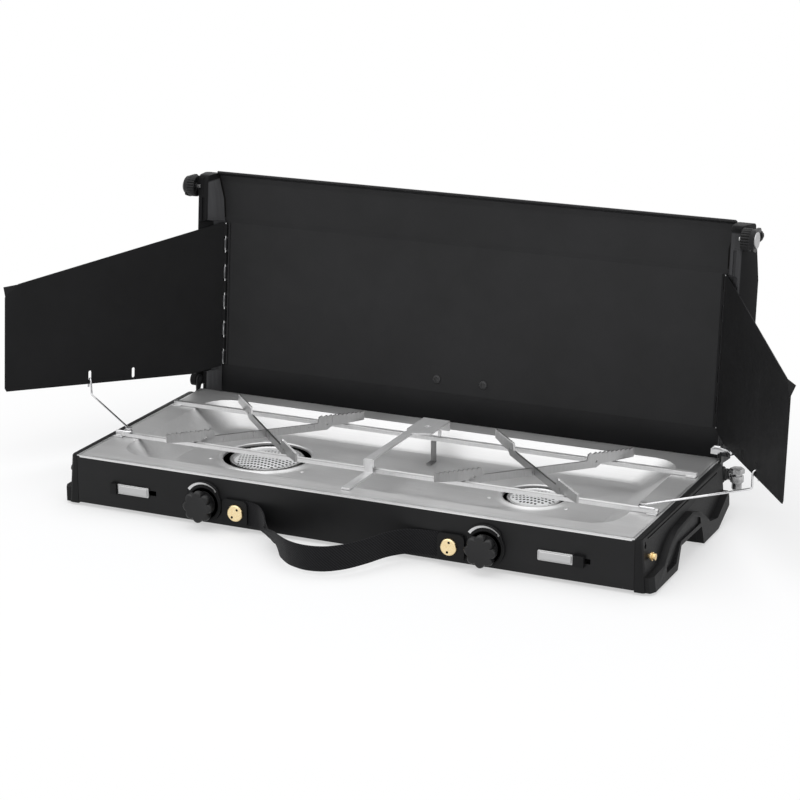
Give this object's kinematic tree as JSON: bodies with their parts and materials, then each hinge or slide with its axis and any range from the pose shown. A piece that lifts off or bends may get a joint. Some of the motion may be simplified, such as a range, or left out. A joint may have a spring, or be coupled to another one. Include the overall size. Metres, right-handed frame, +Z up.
{
  "type": "camping stove",
  "caption": "Opened portable camping gas stove with hinged lid, fold-out side wind shields on wire stays, serrated pot supports over a stainless drip tray, knobs and a webbing carry strap",
  "frame": {"origin": "centre of the pan's flat underside, which is Z = 0", "axes": "+X to the user's right along the front, +Y to the back, +Z up"},
  "size_m": [0.8606, 0.39, 0.2946],
  "materials": {
    "painted_black_steel": "satin black enamel",
    "black_plastic": "moulded matte",
    "stainless": "rolled satin",
    "bright_steel": "polished",
    "brass": "machined",
    "webbing": "woven",
    "foot_rubber": "matte"
  },
  "bodies": {
    "base": {"base_pan": "painted_black_steel", "drip_tray": "stainless", "burner_head_left": "stainless", "burner_head_right": "stainless", "burner_cup_left": "stainless", "burner_cup_right": "stainless", "gas_valve_left": "brass", "gas_valve_right": "brass", "gas_pipe": "bright_steel", "gas_inlet": "bright_steel", "base_cap_left": "black_plastic", "base_cap_right": "black_plastic", "latch_stud_left": "brass", "latch_stud_right": "brass", "foot_front_left": "foot_rubber", "foot_front_right": "foot_rubber", "foot_rear_left": "foot_rubber", "foot_rear_right": "foot_rubber", "hinge_ear_left": "stainless", "hinge_ear_right": "stainless", "lid_pin_left": "bright_steel", "lid_pin_right": "bright_steel", "front_rail": "stainless", "rear_rail": "stainless", "pot_support_left_a": "stainless", "pot_support_left_b": "stainless", "pot_support_right_a": "stainless", "pot_support_right_b": "stainless", "centre_bridge": "stainless", "knob_bezel_left": "black_plastic", "knob_bezel_right": "black_plastic", "strap_anchor_left": "black_plastic", "strap_anchor_right": "black_plastic", "anchor_screw_left": "brass", "anchor_screw_right": "brass", "carry_strap": "webbing"},
    "lid": {"lid_shell": "painted_black_steel", "lid_screw_left": "painted_black_steel", "lid_screw_right": "painted_black_steel", "lid_cap_left": "black_plastic", "lid_cap_right": "black_plastic", "latch_screw_left": "bright_steel", "latch_screw_right": "bright_steel", "shield_hinge_left": "painted_black_steel", "shield_hinge_right": "painted_black_steel", "shield_pin_left": "bright_steel", "shield_pin_right": "bright_steel"},
    "shield_left": {"wind_shield_left": "painted_black_steel"},
    "stay_left": {"wire_stay_left": "bright_steel"},
    "knob_body_left": {"knob_left": "black_plastic"},
    "latch_body_left": {"lid_latch_left": "black_plastic"},
    "catch_body_left": {"catch_plate_left": "stainless", "catch_grip_left": "black_plastic"},
    "shield_right": {"wind_shield_right": "painted_black_steel"},
    "stay_right": {"wire_stay_right": "bright_steel"},
    "knob_body_right": {"knob_right": "black_plastic"},
    "latch_body_right": {"lid_latch_right": "black_plastic"},
    "catch_body_right": {"catch_plate_right": "stainless", "catch_grip_right": "black_plastic"}
  },
  "joints": [
    {"name": "lid_hinge", "type": "hinge", "parent": "base", "child": "lid", "pos_m": [0, 0.12715, 0.0607], "axis": [1, 0, 0], "range_deg": [0, 95]},
    {"name": "shield_left_hinge", "type": "hinge", "parent": "lid", "child": "shield_left", "pos_m": [-0.2856, 0.16135, 0.15114], "axis": [0, 0.0938, 0.9956], "range_deg": [0, 124.5]},
    {"name": "shield_right_hinge", "type": "hinge", "parent": "lid", "child": "shield_right", "pos_m": [0.2856, 0.16135, 0.15114], "axis": [0, 0.0938, 0.9956], "range_deg": [-121, 0]},
    {"name": "stay_left_swing", "type": "hinge", "parent": "base", "child": "stay_left", "pos_m": [-0.282, -0.05535, 0.056], "axis": [0, 0, 1], "range_deg": [-62, 0]},
    {"name": "stay_right_swing", "type": "hinge", "parent": "base", "child": "stay_right", "pos_m": [0.282, -0.05535, 0.056], "axis": [0, 0, 1], "range_deg": [0, 62]},
    {"name": "knob_left_turn", "type": "hinge", "parent": "base", "child": "knob_body_left", "pos_m": [-0.152, -0.138, 0.0205], "axis": [0, -1, 0], "range_deg": [0, 150]},
    {"name": "knob_right_turn", "type": "hinge", "parent": "base", "child": "knob_body_right", "pos_m": [0.152, -0.138, 0.0205], "axis": [0, -1, 0], "range_deg": [0, 150]},
    {"name": "latch_left_turn", "type": "hinge", "parent": "lid", "child": "latch_body_left", "pos_m": [-0.315, 0.1487, 0.27387], "axis": [1, 0, 0], "range_deg": [-100, 0]},
    {"name": "latch_right_turn", "type": "hinge", "parent": "lid", "child": "latch_body_right", "pos_m": [0.315, 0.1487, 0.27387], "axis": [1, 0, 0], "range_deg": [-100, 0]},
    {"name": "catch_left_slide", "type": "slide", "parent": "base", "child": "catch_body_left", "axis": [1, 0, 0], "range_m": [0, 0.005]},
    {"name": "catch_right_slide", "type": "slide", "parent": "base", "child": "catch_body_right", "axis": [1, 0, 0], "range_m": [0, 0.0044]}
  ],
  "couplings": [
    {"joint": "stay_left_swing", "follows": "lid_hinge", "ratio": -0.65},
    {"joint": "stay_right_swing", "follows": "lid_hinge", "ratio": 0.65}
  ]
}
